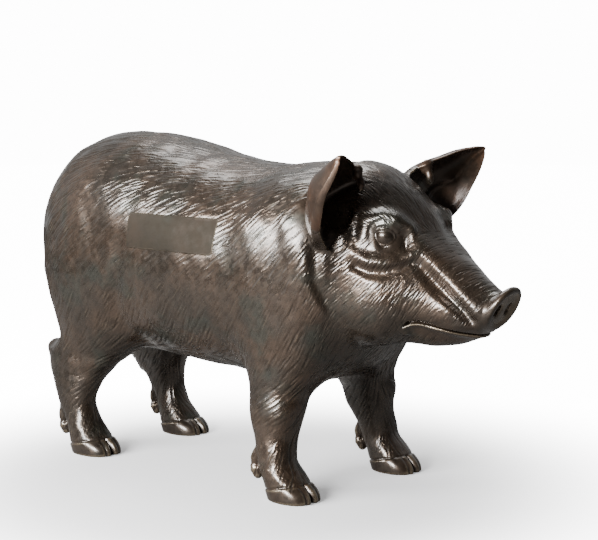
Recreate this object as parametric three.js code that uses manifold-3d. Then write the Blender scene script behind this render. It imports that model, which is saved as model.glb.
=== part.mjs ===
// A young pig standing four-square: a life-size hollow bronze casting.
// It is cast in sections and welded: hindquarters, forequarters, head, four legs,
// two ears and a tail, with sole plates and threaded bushes in the feet.
// Millimetres, +Z up, +X towards the snout, +Y to the animal's left.

import * as THREE from 'three';
import { LoftGeometry } from 'three/addons/geometries/LoftGeometry.js';
import { mergeVertices } from 'three/addons/utils/BufferGeometryUtils.js';
import Module from 'manifold-3d';

// Stance and overall size.
const HOOF_SPAN = 508;          // rear hooves' centre to front hooves' centre, along X
const FRONT_TRACK = 276;        // centre to centre of the front hooves, along Y
const REAR_TRACK = 234;
const BELLY_CLEARANCE = 178;    // floor to the lowest part of the belly
const TRUNK_DEPTH = 411;        // lowest belly to highest back
const TRUNK_WIDTH = 348;        // widest part of the barrel
const RUMP_REACH = 198;         // rear hooves' centre back to the end of the rump
const THROAT_REACH = 166;       // front hooves' centre on to where the trunk ends in the head
const RUMP_ROUNDING = 128;      // length over which the rump rounds off
const THROAT_ROUNDING = 115;

// Head and ears.
const HEAD_DEPTH = 290;         // jaw to crown
const HEAD_WIDTH = 224;         // across the cheeks
const JAW_ABOVE_BELLY = 88;
const HEAD_BACK_REACH = -24;    // front hooves' centre to the back of the head's form
const SNOUT_REACH = 315;        // front hooves' centre to the middle of the snout disc
const SNOUT_ABOVE_JAW = 64;     // jaw up to the middle of the snout disc
const SNOUT_TILT = 31;          // degrees that the disc faces down
const SNOUT_DISC_HEIGHT = 88;
const SNOUT_DISC_WIDTH = 74;
const SNOUT_DISC_DEPTH = 13;
const EAR_LENGTH = 126;         // middle of its root to its tip
const EAR_ROOT_REACH = 86;      // front hooves' centre to the middle of the ear's root
const EAR_ROOT_INSIDE = 2;      // the root's middle inside the cheeks' widest line
const EAR_ROOT_DROP = 66;       // the root's middle below the crown
const EAR_WIDTH = 136;
const EAR_CUP = 42;             // depth of the ear's hollow
const EAR_RIM_LEAN = 9;         // how far the outer rim lies behind the inner
const EAR_THICKNESS = 9;

// Feet.
const HOOF_LENGTH = 88;
const HOOF_WIDTH = 74;
const DEWCLAW_LENGTH = 38;
const DEWCLAW_WIDTH = 18;
const DEWCLAW_DEPTH = 22;
const DEWCLAW_TILT = 0.45;      // radians that they lean back
const DEWCLAW_BEHIND = 13;      // their centres behind the back of the hoof
const DEWCLAW_SPREAD = 0.23;    // their centres either side of the leg, in hoof widths
const SOLE_THICKNESS = 6;
const BUSH_DIAMETER = 24;
const BUSH_FLANGE_OVERHANG = 6;
const BUSH_FLANGE_DEPTH = 5;
const BUSH_HEIGHT = 30;
const BUSH_BORE = 13;
const BUSH_BORE_DEPTH = 24;
const BUSH_RECESS = 1;          // bush's end above the floor

// Casting and assembly.
const WALL = 6;                 // thickness of the cast bronze
const SEAM_GAP = 0.3;           // clearance between neighbouring sections
const LEG_SEAM_BELOW_BELLY = 10; // the legs are welded on just under the belly
const WAIST_SEAM = -254;        // front hooves' centre to the weld round the barrel
const NECK_SEAM = 38;           // front hooves' centre to the weld behind the ears
const BAND_WIDTH = 20;          // backing bands behind the welds
const BAND_THICKNESS = 3;
const PLUG_DIAMETER = 14;       // plugs in the core-pin holes
const WINDOW_LENGTH = 208;      // plate that closes the window left across the waist weld
const WINDOW_HEIGHT = 62;
const WINDOW_REACH = -260;      // front hooves' centre to the middle of the window
const WINDOW_ABOVE_BELLY = 248;
const TAIL_RADIUS = 9;
const TAIL_TIP_RADIUS = 3.5;
const TAIL_ROOT_LEVEL = 0.66;   // share of the trunk's depth
const TAIL_SUNK = 26;           // its root inside the end of the rump
const TAIL_STANDOFF = 37;       // how far it then comes back out
const TAIL_DROP = 50;
const TAIL_CURL_HALF_WIDTH = 22;
const TAIL_CURL_HALF_HEIGHT = 17;
const TAIL_TURNS = 1.1;

const FRONT_HOOF_X = HOOF_SPAN / 2;
const REAR_HOOF_X = -HOOF_SPAN / 2;
const LEG_SEAM = BELLY_CLEARANCE - LEG_SEAM_BELOW_BELLY;
const JAW_HEIGHT = BELLY_CLEARANCE + JAW_ABOVE_BELLY;
const SNOUT_HEIGHT = JAW_HEIGHT + SNOUT_ABOVE_JAW;
const WINDOW_LEVEL = BELLY_CLEARANCE + WINDOW_ABOVE_BELLY;
const TRUNK_START = REAR_HOOF_X - RUMP_REACH;
const TRUNK_END = FRONT_HOOF_X + THROAT_REACH;
const HEAD_START = FRONT_HOOF_X + HEAD_BACK_REACH;
const HEAD_END = FRONT_HOOF_X + SNOUT_REACH + SNOUT_DISC_HEIGHT / 2;
const BIG = 2000;

// How square the sections are: 2 is an ellipse.
const TRUNK_POWER = 2.25;
const HEAD_POWER = 2.3;
const LEG_POWER = 2.3;

// Facets round the small turned pieces and the tail.
const ROUND_SIDES = 16;
const TAIL_SIDES = 10;
const TAIL_RINGS = 22;

// Outline of the trunk. Each row: share of the length from rump to throat, then the
// top and bottom as shares of the depth above the belly, then the share of the width.
const TRUNK_ROWS = [
  [0.00, 0.66, 0.34, 0.68],
  [0.05, 0.79, 0.22, 0.73],
  [0.13, 0.935, 0.115, 0.82],
  [0.22, 0.985, 0.06, 0.90],
  [0.28, 1.00, 0.04, 0.93],
  [0.41, 0.97, 0.02, 0.98],
  [0.53, 0.915, 0.01, 1.00],
  [0.64, 0.89, 0.00, 0.98],
  [0.75, 0.91, 0.00, 0.91],
  [0.82, 0.92, 0.02, 0.84],
  [0.88, 0.90, 0.09, 0.75],
  [0.94, 0.86, 0.19, 0.67],
  [1.00, 0.80, 0.27, 0.52],
];

// Outline of the head. Each row: share of the length from the neck to the snout,
// then top and bottom as shares of the depth above the jaw, then the share of the width.
const HEAD_ROWS = [
  [0.00, 0.98, 0.22, 0.86],
  [0.19, 0.965, 0.07, 1.00],
  [0.32, 0.94, 0.015, 1.00],
  [0.42, 0.875, 0.00, 0.90],
  [0.50, 0.745, 0.00, 0.77],
  [0.57, 0.62, 0.01, 0.62],
  [0.65, 0.53, 0.02, 0.51],
  [0.73, 0.46, 0.04, 0.44],
  [0.81, 0.38, 0.07, 0.40],
  [0.88, 0.35, 0.10, 0.39],
  [1.00, 0.35, 0.12, 0.40],
];

// Outlines of the legs. Each row: height as a share of the belly's clearance, how far
// the section's centre lies behind the hoof's and inside it, and its shares of the
// hoof's length and width.
const FRONT_LEG_ROWS = [
  [0.00, 2, 0, 0.94, 0.97],
  [0.10, 8, 0, 0.98, 1.00],
  [0.23, 25, 0, 0.81, 0.95],
  [0.33, 37, 1, 0.70, 0.89],
  [0.44, 42, 4, 0.72, 0.92],
  [0.56, 47, 9, 0.80, 0.96],
  [0.67, 50, 13, 0.94, 1.03],
  [0.82, 51, 17, 1.08, 1.16],
  [0.96, 54, 25, 1.14, 1.30],
  [1.12, 51, 33, 1.36, 1.40],
  [1.40, 49, 38, 1.70, 1.40],
  [1.74, 54, 43, 1.82, 1.30],
];
const REAR_LEG_ROWS = [
  [0.00, -4, 0, 1.04, 1.00],
  [0.10, 2, 0, 1.06, 1.00],
  [0.26, 21, 0, 0.80, 0.89],
  [0.34, 30, 0, 0.73, 0.84],
  [0.49, 44, 0, 0.77, 0.81],
  [0.58, 48, 1, 0.87, 0.84],
  [0.66, 51, 4, 1.03, 0.89],
  [0.74, 53, 8, 1.23, 0.95],
  [0.83, 51, 15, 1.52, 1.03],
  [0.93, 48, 19, 1.82, 1.11],
  [1.02, 43, 23, 2.13, 1.18],
  [1.16, 17, 25, 1.98, 1.30],
  [1.40, 6, 26, 2.10, 1.45],
  [1.74, 4, 28, 2.30, 1.50],
];

// Rounded masses that swell out of the trunk and head. Each holds its centre's distance
// along X from the named hooves, then the centre's distance from the mid-plane as a share
// of the trunk's half width and its height as a share of the trunk's depth above the
// belly, and its radii along X and as shares of that half width and depth.
const SWELLINGS = [
  { from: REAR_HOOF_X, at: [-4, 0.49, 0.37], radii: [125, 0.41, 0.34] },
  { from: FRONT_HOOF_X, at: [-49, 0.56, 0.42], radii: [105, 0.42, 0.40] },
  { from: FRONT_HOOF_X, at: [96, 0.36, 0.38], radii: [80, 0.30, 0.18] },
];

// Plugs: distance along X from the hooves, and height as a share of the trunk's depth.
const PLUGS = [
  { name: 'flank', along: REAR_HOOF_X + 120, level: 0.30 },
  { name: 'shoulder', along: FRONT_HOOF_X - 130, level: 0.58 },
  { name: 'ham', along: REAR_HOOF_X + 16, level: 0.66 },
];

const wasm = await Module();
wasm.setup();

// A closed three.js geometry as a solid that can be joined and cut.
function toSolid(geometry) {
  const bare = geometry.index ? geometry.toNonIndexed() : geometry.clone();
  for (const name of Object.keys(bare.attributes)) {
    if (name !== 'position') bare.deleteAttribute(name);
  }
  const merged = mergeVertices(bare, 1e-3);
  const vertProperties = new Float32Array(merged.attributes.position.array);
  const triVerts = new Uint32Array(merged.index.array);
  return new wasm.Manifold(new wasm.Mesh({ numProp: 3, vertProperties, triVerts }));
}

// A solid as a three.js geometry again.
function toGeometry(solid) {
  const mesh = solid.getMesh();
  const geometry = new THREE.BufferGeometry();
  geometry.setAttribute('position', new THREE.Float32BufferAttribute(mesh.vertProperties, 3));
  geometry.setIndex(new THREE.Uint32BufferAttribute(mesh.triVerts, 1));
  geometry.computeVertexNormals();
  return geometry;
}

// A box between two corners.
function boxSolid(low, high) {
  const size = high.map((value, axis) => value - low[axis]);
  const geometry = new THREE.BoxGeometry(...size);
  geometry.translate(...low.map((value, axis) => value + size[axis] / 2));
  return toSolid(geometry);
}

function slabX(from, to) {
  return boxSolid([from, -BIG, -BIG], [to, BIG, BIG]);
}

function slabZ(from, to) {
  return boxSolid([-BIG, -BIG, from], [BIG, BIG, to]);
}

function cylinderZ(radius, from, to, x, y) {
  const geometry = new THREE.CylinderGeometry(radius, radius, to - from, ROUND_SIDES);
  geometry.rotateX(Math.PI / 2);
  geometry.translate(x, y, (from + to) / 2);
  return toSolid(geometry);
}

function join(solids) {
  return solids.reduce((whole, next) => whole.add(next));
}

// The largest piece of a solid: small offcuts where forms blend are left behind.
function mainPiece(solid) {
  const pieces = solid.decompose();
  return pieces.reduce((best, next) => (next.volume() > best.volume() ? next : best));
}

// Smooth values between hand-set rows: the first number in each row is the position.
function smoothRows(rows) {
  const width = rows[0].length - 1;
  const places = rows.map((row) => row[0]);
  const values = rows.flatMap((row) => row.slice(1));
  const line = new THREE.CubicInterpolant(places, values, width);
  return (place) => Array.from(line.evaluate(place));
}

// Power curve that rounds a form off over its last stretch.
function rounding(distance, reach, power) {
  const share = Math.min(Math.max(1 - distance / reach, 0), 1);
  return Math.sqrt(Math.max(1 - share ** power, 0.0004));
}

// One point of a superellipse: an ellipse a little squarer than round.
function superellipse(angle, power) {
  const turn = (value) => Math.sign(value) * Math.abs(value) ** (2 / power);
  return [turn(Math.cos(angle)), turn(Math.sin(angle))];
}

// A section across X, with its own heights above and below its middle.
function crossSection(x, middle, up, down, half, sides, power) {
  const points = [];
  for (let step = 0; step < sides; step += 1) {
    const [across, rise] = superellipse((step / sides) * 2 * Math.PI, power);
    const height = rise > 0 ? rise * up : rise * down;
    points.push(new THREE.Vector3(x, across * half, middle + height));
  }
  return points;
}

// Places from one end to the other, closer together near both ends.
function spread(start, end, count) {
  const places = [];
  for (let step = 0; step <= count; step += 1) {
    const share = (1 - Math.cos((step / count) * Math.PI)) / 2;
    places.push(start + (end - start) * (0.65 * share + 0.35 * (step / count)));
  }
  return places;
}

const trunkAt = smoothRows(TRUNK_ROWS);
const headAt = smoothRows(HEAD_ROWS);

// The barrel of the body, drawn in by the inset.
function trunkSolid(inset) {
  const [rings, sides] = inset > 0 ? [15, 22] : [22, 30];
  const sections = spread(TRUNK_START + inset, TRUNK_END - inset, rings).map((x) => {
    const share = (x - TRUNK_START) / (TRUNK_END - TRUNK_START);
    const [top, bottom, width] = trunkAt(share);
    const rump = rounding(x - TRUNK_START - inset, RUMP_ROUNDING - inset, 2.2);
    const throat = rounding(TRUNK_END - inset - x, THROAT_ROUNDING - inset, 2);
    const high = BELLY_CLEARANCE + top * TRUNK_DEPTH - inset;
    const low = BELLY_CLEARANCE + bottom * TRUNK_DEPTH + inset;
    const middle = (high + low) / 2;
    const half = (width * TRUNK_WIDTH) / 2 - inset;
    const scale = rump * throat;
    const up = (high - middle) * scale;
    return crossSection(x, middle, up, up, half * scale, sides, TRUNK_POWER);
  });
  return toSolid(new LoftGeometry(sections, { capStart: true, capEnd: true }));
}

// The head's form up to past the snout disc, drawn in by the inset.
function headLoft(inset) {
  const [rings, sides] = inset > 0 ? [10, 18] : [17, 24];
  const sections = spread(HEAD_START, HEAD_END, rings).map((x) => {
    const [top, bottom, width] = headAt((x - HEAD_START) / (HEAD_END - HEAD_START));
    const high = JAW_HEIGHT + top * HEAD_DEPTH - inset;
    const low = JAW_HEIGHT + bottom * HEAD_DEPTH + inset;
    const middle = low + (high - low) * 0.46;
    const half = (width * HEAD_WIDTH) / 2 - inset;
    return crossSection(x, middle, high - middle, middle - low, half, sides, HEAD_POWER);
  });
  return toSolid(new LoftGeometry(sections, { capStart: true, capEnd: true }));
}

// Everything in front of the snout disc's plane, moved back along its axis by the depth.
function aheadOfSnout(depth) {
  const geometry = new THREE.BoxGeometry(BIG, BIG, BIG);
  geometry.translate(BIG / 2 - depth, 0, 0);
  geometry.rotateY(THREE.MathUtils.degToRad(SNOUT_TILT));
  geometry.translate(FRONT_HOOF_X + SNOUT_REACH, 0, SNOUT_HEIGHT);
  return toSolid(geometry);
}

// The flat, flared end of the snout.
function snoutDisc() {
  const geometry = new THREE.CylinderGeometry(0.5, 0.47, SNOUT_DISC_DEPTH, 28);
  geometry.rotateZ(-Math.PI / 2);
  geometry.translate(-SNOUT_DISC_DEPTH / 2, 0, 0);
  geometry.scale(1, SNOUT_DISC_WIDTH, SNOUT_DISC_HEIGHT);
  geometry.rotateY(THREE.MathUtils.degToRad(SNOUT_TILT));
  geometry.translate(FRONT_HOOF_X + SNOUT_REACH, 0, SNOUT_HEIGHT);
  return toSolid(geometry);
}

function headSolid(inset) {
  const hollowed = inset > 0;
  const loft = headLoft(inset);
  const trimmed = loft.subtract(aheadOfSnout(hollowed ? SNOUT_DISC_DEPTH : SNOUT_DISC_DEPTH / 2));
  return hollowed ? trimmed : trimmed.add(snoutDisc());
}

function swelling({ from, at, radii }, side, inset) {
  const geometry = new THREE.SphereGeometry(1, 14, 9);
  const radiusAcross = (radii[1] * TRUNK_WIDTH) / 2 - inset;
  geometry.scale(radii[0] - inset, radiusAcross, radii[2] * TRUNK_DEPTH - inset);
  const centreAcross = (side * at[1] * TRUNK_WIDTH) / 2;
  geometry.translate(from + at[0], centreAcross, BELLY_CLEARANCE + at[2] * TRUNK_DEPTH);
  return toSolid(geometry);
}

// One leg, from the floor up into the trunk, drawn in by the inset.
function legSolid(front, side, inset) {
  const rings = 13;
  const sides = 14;
  const rows = front ? FRONT_LEG_ROWS : REAR_LEG_ROWS;
  const legAt = smoothRows(rows);
  const hoofX = front ? FRONT_HOOF_X : REAR_HOOF_X;
  const hoofY = (front ? FRONT_TRACK : REAR_TRACK) / 2;
  const topShare = rows[rows.length - 1][0];
  const sections = [];
  for (let ring = 0; ring <= rings; ring += 1) {
    const share = (ring / rings) * topShare;
    const [behind, inside, length, width] = legAt(share);
    const halfLength = (length * HOOF_LENGTH) / 2 - inset;
    const halfWidth = (width * HOOF_WIDTH) / 2 - inset;
    const points = [];
    for (let step = 0; step < sides; step += 1) {
      const [along, across] = superellipse((step / sides) * 2 * Math.PI, LEG_POWER);
      const x = hoofX - behind + along * halfLength;
      const y = side * (hoofY - inside) + across * halfWidth;
      points.push(new THREE.Vector3(x, y, share * BELLY_CLEARANCE));
    }
    sections.push(points);
  }
  return toSolid(new LoftGeometry(sections, { capStart: true, capEnd: true }));
}

// Two small dewclaws that hang behind a pastern.
function dewclaws(front, side) {
  const hoofX = front ? FRONT_HOOF_X : REAR_HOOF_X;
  const hoofY = (front ? FRONT_TRACK : REAR_TRACK) / 2;
  return join([-1, 1].map((outer) => {
    const geometry = new THREE.SphereGeometry(1, 8, 6);
    geometry.scale(DEWCLAW_DEPTH / 2, DEWCLAW_WIDTH / 2, DEWCLAW_LENGTH / 2);
    geometry.rotateY(DEWCLAW_TILT);
    const x = hoofX - HOOF_LENGTH / 2 - DEWCLAW_BEHIND;
    geometry.translate(x, side * hoofY + outer * HOOF_WIDTH * DEWCLAW_SPREAD, DEWCLAW_LENGTH);
    return toSolid(geometry);
  }));
}

const LEGS = [];
for (const front of [true, false]) {
  for (const side of [1, -1]) {
    const name = `${front ? 'front' : 'rear'}_${side > 0 ? 'left' : 'right'}`;
    LEGS.push({ front, side, name });
  }
}

// The whole animal without ears and tail, drawn in by the inset (negative grows it).
function wholeForm(inset) {
  const parts = [trunkSolid(inset), headSolid(inset)];
  for (const place of SWELLINGS) {
    parts.push(swelling(place, 1, inset), swelling(place, -1, inset));
  }
  for (const { front, side } of LEGS) {
    parts.push(legSolid(front, side, inset));
  }
  return join(parts);
}

// A thin cupped ear: sections across it from root to tip.
function earSolid(side) {
  const root = new THREE.Vector3(
    FRONT_HOOF_X + EAR_ROOT_REACH,
    HEAD_WIDTH / 2 - EAR_ROOT_INSIDE,
    JAW_HEIGHT + HEAD_DEPTH - EAR_ROOT_DROP,
  );
  const along = new THREE.Vector3(54, 80, 82).normalize();
  const across = new THREE.Vector3(19, -50, 129);
  across.addScaledVector(along, -across.dot(along)).normalize();
  const facing = across.clone().cross(along).normalize().negate();
  const rows = smoothRows([
    [-0.50, 0.70, 0.60],
    [-0.24, 0.93, 0.95],
    [0.00, 1.00, 1.00],
    [0.28, 0.94, 1.00],
    [0.48, 0.80, 0.80],
    [0.70, 0.56, 0.55],
    [0.87, 0.30, 0.25],
    [1.00, 0.07, 0.05],
  ]);
  const rings = 8;
  const steps = 7;
  const sections = [];
  for (let ring = 0; ring <= rings; ring += 1) {
    const share = -0.5 + (ring / rings) * 1.5;
    const [width, cup] = rows(share);
    const half = (width * EAR_WIDTH) / 2;
    const thick = EAR_THICKNESS / 2;
    const rim = (offset, from, to) => {
      const points = [];
      const count = Math.abs(to - from);
      for (let step = 0; step <= count; step += 1) {
        const t = ((from + Math.sign(to - from) * step) / steps) * 2 - 1;
        const taper = Math.sqrt(Math.max(1 - t * t * 0.9, 0));
        const lean = EAR_RIM_LEAN * (1 - t) * cup;
        const depth = -cup * EAR_CUP * (1 - t * t) - lean + offset * taper;
        const point = root.clone().addScaledVector(along, share * EAR_LENGTH);
        point.addScaledVector(across, t * half);
        point.addScaledVector(facing, depth);
        points.push(new THREE.Vector3(point.x, side * point.y, point.z));
      }
      return points;
    };
    const back = rim(-thick, 0, steps);
    const front = rim(thick, steps, 0);
    const loop = [...back, ...front];
    sections.push(side > 0 ? loop : loop.reverse());
  }
  return toSolid(new LoftGeometry(sections, { capStart: true, capEnd: true }));
}

// A short tail curled once against the rump, tapering to its tip.
function tailSolid() {
  const points = [];
  for (let ring = 0; ring <= TAIL_RINGS; ring += 1) {
    const share = ring / TAIL_RINGS;
    const angle = share * TAIL_TURNS * 2 * Math.PI;
    const x = TRUNK_START + TAIL_SUNK - TAIL_STANDOFF * (1 - (1 - share) ** 4);
    const y = TAIL_CURL_HALF_WIDTH * Math.sin(angle);
    const root = BELLY_CLEARANCE + TRUNK_DEPTH * TAIL_ROOT_LEVEL;
    const z = root - TAIL_DROP * share - TAIL_CURL_HALF_HEIGHT * (1 - Math.cos(angle));
    points.push(new THREE.Vector3(x, y, z));
  }
  const curve = new THREE.CatmullRomCurve3(points);
  const lengthwise = new THREE.Vector3(1, 0, 0);
  const sections = points.map((point, ring) => {
    const share = ring / TAIL_RINGS;
    const tangent = curve.getTangent(share);
    const sideways = tangent.clone().cross(lengthwise).normalize();
    const outwards = tangent.clone().cross(sideways).normalize();
    const radius = TAIL_RADIUS + (TAIL_TIP_RADIUS - TAIL_RADIUS) * share;
    const loop = [];
    for (let step = 0; step < TAIL_SIDES; step += 1) {
      const angle = (step / TAIL_SIDES) * 2 * Math.PI;
      const corner = point.clone().addScaledVector(sideways, Math.cos(angle) * radius);
      loop.push(corner.addScaledVector(outwards, Math.sin(angle) * radius));
    }
    return loop;
  });
  return toSolid(new LoftGeometry(sections, { capStart: true, capEnd: true }));
}

const PATINA = { color: 0x4a3324, roughness: 0.42, metalness: 0.85 };
const RAW_BRONZE = { color: 0x8a6434, roughness: 0.5, metalness: 0.9 };
const STEEL = { color: 0x9a9a98, roughness: 0.35, metalness: 0.95 };

const pig = new THREE.Group();

function addPart(name, solid, look) {
  const mesh = new THREE.Mesh(toGeometry(mainPiece(solid)), new THREE.MeshStandardMaterial(look));
  mesh.name = name;
  pig.add(mesh);
}

const outside = wholeForm(0);
const inside = wholeForm(WALL);
const grown = wholeForm(-SEAM_GAP);
const gap = SEAM_GAP / 2;
const waistX = FRONT_HOOF_X + WAIST_SEAM;
const neckX = FRONT_HOOF_X + NECK_SEAM;

// Core-pin holes through both sides, and the window in the right flank.
const plugHoles = [];
const plugSolids = [];
for (const { name, along, level } of PLUGS) {
  for (const side of [1, -1]) {
    const bore = (radius) => {
      const geometry = new THREE.CylinderGeometry(radius, radius, TRUNK_WIDTH, ROUND_SIDES);
      const height = BELLY_CLEARANCE + level * TRUNK_DEPTH;
      geometry.translate(along, side * TRUNK_WIDTH * 0.7, height);
      return toSolid(geometry);
    };
    plugHoles.push(bore(PLUG_DIAMETER / 2 + SEAM_GAP));
    plugSolids.push({
      name: `${name}_core_plug_${side > 0 ? 'left' : 'right'}`,
      solid: outside.subtract(inside).intersect(bore(PLUG_DIAMETER / 2)),
    });
  }
}
const windowBox = (margin) => {
  const x = FRONT_HOOF_X + WINDOW_REACH;
  const halfLength = WINDOW_LENGTH / 2 + margin;
  const halfHeight = WINDOW_HEIGHT / 2 + margin;
  return boxSolid(
    [x - halfLength, -TRUNK_WIDTH, WINDOW_LEVEL - halfHeight],
    [x + halfLength, -TRUNK_WIDTH / 4, WINDOW_LEVEL + halfHeight],
  );
};
const openings = join([...plugHoles, windowBox(SEAM_GAP)]);

// Body and head shells above the leg seam.
const shell = outside.subtract(inside).subtract(openings).intersect(slabZ(LEG_SEAM + gap, BIG));
addPart('hindquarters_shell', shell.intersect(slabX(-BIG, waistX - gap)), PATINA);
addPart('forequarters_shell', shell.intersect(slabX(waistX + gap, neckX - gap)), PATINA);
addPart('head_shell', shell.intersect(slabX(neckX + gap, BIG)), PATINA);
addPart('flank_window_plate', outside.subtract(inside).intersect(windowBox(0)), PATINA);
for (const { name, solid } of plugSolids) addPart(name, solid, PATINA);

// Ears and tail, trimmed where they meet the body.
addPart('left_ear', earSolid(1).subtract(grown), PATINA);
addPart('right_ear', earSolid(-1).subtract(grown), PATINA);
addPart('tail', tailSolid().subtract(grown), PATINA);

// Legs, sole plates and fixing bushes.
for (const { front, side, name } of LEGS) {
  const hoofX = front ? FRONT_HOOF_X : REAR_HOOF_X;
  const hoofY = side * (front ? FRONT_TRACK : REAR_TRACK) / 2;
  const outer = legSolid(front, side, 0);
  const bore = legSolid(front, side, WALL);
  const leg = outer.add(dewclaws(front, side)).subtract(bore).intersect(slabZ(0, LEG_SEAM - gap));
  addPart(`${name}_leg`, leg, PATINA);

  const soleForm = legSolid(front, side, WALL + SEAM_GAP).intersect(slabZ(0, SOLE_THICKNESS));
  const bushHole = cylinderZ(BUSH_DIAMETER / 2 + SEAM_GAP, -1, SOLE_THICKNESS + 1, hoofX, hoofY);
  addPart(`${name}_sole_plate`, soleForm.subtract(bushHole), RAW_BRONZE);

  const flangeStart = SOLE_THICKNESS + SEAM_GAP;
  const flangeRadius = BUSH_DIAMETER / 2 + BUSH_FLANGE_OVERHANG;
  const body = cylinderZ(BUSH_DIAMETER / 2, BUSH_RECESS, BUSH_HEIGHT, hoofX, hoofY);
  const flange = cylinderZ(flangeRadius, flangeStart, flangeStart + BUSH_FLANGE_DEPTH, hoofX, hoofY);
  const thread = cylinderZ(BUSH_BORE / 2, -1, BUSH_BORE_DEPTH, hoofX, hoofY);
  addPart(`${name}_fixing_bush`, body.add(flange).subtract(thread), STEEL);
}

// Backing bands behind the welds, on the inside.
const bandOuter = wholeForm(WALL + SEAM_GAP);
const bandInner = wholeForm(WALL + SEAM_GAP + BAND_THICKNESS);
const bands = bandOuter.subtract(bandInner);
for (const [name, x] of [['waist_backing_band', waistX], ['neck_backing_band', neckX]]) {
  addPart(name, bands.intersect(slabX(x - BAND_WIDTH / 2, x + BAND_WIDTH / 2)), RAW_BRONZE);
}
for (const { front, side, name } of LEGS) {
  const outer = legSolid(front, side, WALL + SEAM_GAP);
  const inner = legSolid(front, side, WALL + SEAM_GAP + BAND_THICKNESS);
  const seam = slabZ(LEG_SEAM - BAND_WIDTH / 2, LEG_SEAM + BAND_WIDTH / 2);
  addPart(`${name}_backing_band`, outer.subtract(inner).intersect(seam), RAW_BRONZE);
}

// The origin is on the floor under the middle of the whole piece.
const box = new THREE.Box3().setFromObject(pig);
pig.position.x = -(box.min.x + box.max.x) / 2;
pig.updateMatrixWorld(true);

export default pig;
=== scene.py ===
import bmesh
import bpy
import numpy as np
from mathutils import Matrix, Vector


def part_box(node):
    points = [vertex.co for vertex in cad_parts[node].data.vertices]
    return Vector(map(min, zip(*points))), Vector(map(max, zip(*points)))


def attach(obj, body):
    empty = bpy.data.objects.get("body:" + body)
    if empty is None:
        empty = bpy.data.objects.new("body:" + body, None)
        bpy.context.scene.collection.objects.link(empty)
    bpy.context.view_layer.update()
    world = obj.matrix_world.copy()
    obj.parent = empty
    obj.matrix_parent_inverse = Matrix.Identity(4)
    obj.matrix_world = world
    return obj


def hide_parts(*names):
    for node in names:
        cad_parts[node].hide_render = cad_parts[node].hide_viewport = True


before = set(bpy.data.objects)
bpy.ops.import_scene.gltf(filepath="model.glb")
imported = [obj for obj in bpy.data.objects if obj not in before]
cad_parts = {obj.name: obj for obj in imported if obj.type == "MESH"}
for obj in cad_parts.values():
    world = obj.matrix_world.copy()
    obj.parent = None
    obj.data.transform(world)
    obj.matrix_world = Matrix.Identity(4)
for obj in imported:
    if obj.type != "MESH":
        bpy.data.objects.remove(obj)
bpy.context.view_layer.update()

import openvdb
from mathutils import Vector

# A young pig in cast bronze. Forms are worked in millimetres about a centre midway between
# the front and rear hooves, with Y measured outwards on both sides, and then placed where
# the frame's fixing bushes are.
MM = 0.001


def bush_centre(name):
    low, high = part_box(name + "_fixing_bush")
    return (low + high) / 2 / MM


FRONT_BUSH = bush_centre("front_left")
REAR_BUSH = bush_centre("rear_left")
CENTRE_X = (FRONT_BUSH.x + REAR_BUSH.x) / 2
FRONT_X = FRONT_BUSH.x - CENTRE_X
REAR_X = REAR_BUSH.x - CENTRE_X
WINDOW_LOW, WINDOW_HIGH = (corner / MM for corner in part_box("flank_window_plate"))
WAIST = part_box("hindquarters_shell")[1].x / MM - CENTRE_X + 0.15
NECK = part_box("head_shell")[0].x / MM - CENTRE_X - 0.15
LEG_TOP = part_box("front_left_leg")[1].z / MM + 0.15


# ---------------------------------------------------------------- lines and forms

def smooth_line(rows):
    """A smooth function through given (place, value) rows."""
    place, value = np.array(rows, float).T
    step = np.diff(place)
    slope = np.diff(value) / step
    tangent = np.empty(len(place))
    tangent[0], tangent[-1] = slope[0], slope[-1]
    tangent[1:-1] = (slope[:-1] * step[1:] + slope[1:] * step[:-1]) / (step[1:] + step[:-1])
    fine = np.linspace(place[0], place[-1], 800)
    i = np.clip(np.searchsorted(place, fine) - 1, 0, len(step) - 1)
    t = (fine - place[i]) / step[i]
    line = ((2 * t**3 - 3 * t**2 + 1) * value[i]
            + (t**3 - 2 * t**2 + t) * step[i] * tangent[i]
            + (3 * t**2 - 2 * t**3) * value[i + 1]
            + (t**3 - t**2) * step[i] * tangent[i + 1])
    return lambda q: np.interp(q, fine, line)


def join(a, b, fillet):
    """Union of two forms with a rounded fillet."""
    h = np.clip(0.5 + 0.5 * (b - a) / fillet, 0, 1)
    return b + (a - b) * h - fillet * h * (1 - h)


def common(a, b, fillet):
    """What two forms share, with a rounded edge."""
    return -join(-a, -b, fillet)


def carve(a, b, fillet):
    """Form a with form b taken out of it."""
    return -join(-a, b, fillet)


def fade(value, start, end):
    t = np.clip((value - start) / (end - start), 0, 1)
    return t * t * (3 - 2 * t)


def egg(p, centre, radii, tilt=0.0, yaw=0.0):
    """Ellipsoid. Tilt turns it nose down and yaw outwards, in degrees."""
    x, y, z = (p - np.array(centre, float)).T
    c, s = np.cos(np.radians(yaw)), np.sin(np.radians(yaw))
    x, y = c * x + s * y, c * y - s * x
    c, s = np.cos(np.radians(tilt)), np.sin(np.radians(tilt))
    x, z = c * x - s * z, s * x + c * z
    a, b, h = radii
    k = np.sqrt((x / a)**2 + (y / b)**2 + (z / h)**2) + 1e-9
    g = np.sqrt((x / a**2)**2 + (y / b**2)**2 + (z / h**2)**2) + 1e-9
    return k * (k - 1) / g


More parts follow.
